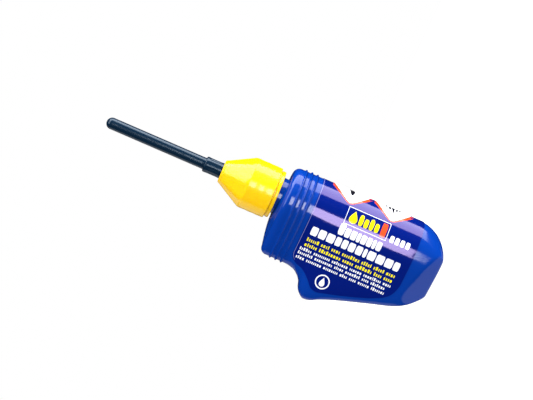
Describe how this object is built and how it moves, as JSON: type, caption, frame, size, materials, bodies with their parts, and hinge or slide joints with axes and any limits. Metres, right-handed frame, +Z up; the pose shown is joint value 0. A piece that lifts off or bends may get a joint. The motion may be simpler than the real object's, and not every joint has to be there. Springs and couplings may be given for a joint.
{
  "type": "glue applicator bottle",
  "caption": "Flat squeeze bottle with a finger heel, screw-on octagonal nozzle collar, fine steel needle and pull-off needle cap, for thin model-making glue.",
  "frame": {"origin": "where the needle's axis meets the flat base that the bottle stands on", "axes": "+Z up along the needle's axis towards its tip, +X towards the straight edge, away from the finger heel, -Y out of the printed front"},
  "size_m": [0.0447, 0.0252, 0.1344],
  "materials": {
    "bottle_plastic": "satin gloss blown plastic, strong blue",
    "label_print": "glossy printed film, dark blue with plain coloured marks",
    "collar_plastic": "moulded plastic, bright yellow, slightly translucent",
    "plug_plastic": "moulded plastic, dark slate",
    "seal_rubber": "soft pale washer",
    "needle_steel": "drawn stainless tube",
    "cap_plastic": "glossy moulded plastic, dark slate blue"
  },
  "bodies": {
    "squeeze_bottle": {"bottle": "bottle_plastic", "wrap_label": "label_print"},
    "needle_unit": {"needle_plug": "plug_plastic", "neck_seal": "seal_rubber", "needle": "needle_steel"},
    "screw_collar": {"nozzle_collar": "collar_plastic"},
    "pull_cap": {"needle_cap": "cap_plastic"}
  },
  "joints": [
    {"name": "unit_lift", "type": "slide", "parent": "squeeze_bottle", "child": "needle_unit", "axis": [0, 0, 1], "range_m": [0, 0.006]},
    {"name": "collar_turn", "type": "hinge", "parent": "needle_unit", "child": "screw_collar", "pos_m": [0, 0, 0.075], "axis": [0, 0, 1], "range_deg": [0, 720]},
    {"name": "cap_pull", "type": "slide", "parent": "needle_unit", "child": "pull_cap", "axis": [0, 0, 1], "range_m": [0, 0.048]}
  ],
  "couplings": [
    {"joint": "unit_lift", "follows": "collar_turn", "m_per_rad": 0.00047746}
  ]
}
